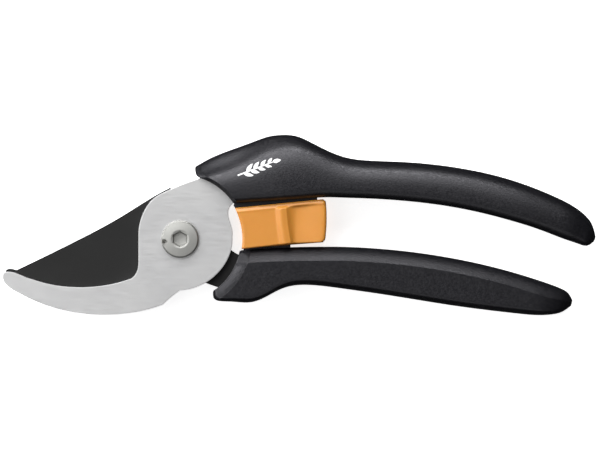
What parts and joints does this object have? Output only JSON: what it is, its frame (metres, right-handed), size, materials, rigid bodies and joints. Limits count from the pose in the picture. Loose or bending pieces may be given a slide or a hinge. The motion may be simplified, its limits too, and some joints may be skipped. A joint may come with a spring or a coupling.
{
  "type": "bypass pruner",
  "caption": "Hand pruner with a hook blade and a curved cutting blade on one pivot, two moulded handles, a coil spring between them and a sliding orange catch.",
  "frame": {"origin": "where the pivot axis meets the surface that the closed tool lies on, which is the closed back of the pivot nut and the handles' backs", "axes": "+X from the pivot towards the handle ends, jaws towards -X; +Y towards the handle of the hook blade; +Z along the pivot axis towards the bolt's head"},
  "size_m": [0.2114, 0.0645, 0.019],
  "materials": {
    "handle_plastic": "fine moulded texture, black",
    "satin_steel": "satin ground stainless",
    "coated_steel": "black low-friction coating",
    "bolt_steel": "turned stainless",
    "washer_steel": "zinc plated",
    "spring_steel": "drawn spring wire",
    "catch_plastic": "orange moulded plastic, satin"
  },
  "bodies": {
    "front_lever": {"upper_handle": "handle_plastic", "hook_plate": "satin_steel", "pivot_bolt": "bolt_steel", "pivot_nut": "bolt_steel", "pivot_washer": "washer_steel", "spring_washer": "washer_steel", "return_spring": "spring_steel"},
    "rear_lever": {"lower_handle": "handle_plastic", "cutting_blade": "coated_steel"},
    "catch": {"catch": "catch_plastic"}
  },
  "joints": [
    {"name": "handle_pivot", "type": "hinge", "parent": "front_lever", "child": "rear_lever", "pos_m": [0, 0, 0.0095], "axis": [0, 0, -1], "range_deg": [0, 28], "stiffness_Nm_per_rad": 1.2, "springref_deg": 51.57, "deforming": ["return_spring"]},
    {"name": "catch_slide", "type": "slide", "parent": "front_lever", "child": "catch", "axis": [0.9962, 0.0872, 0], "range_m": [0, 0.006]}
  ]
}
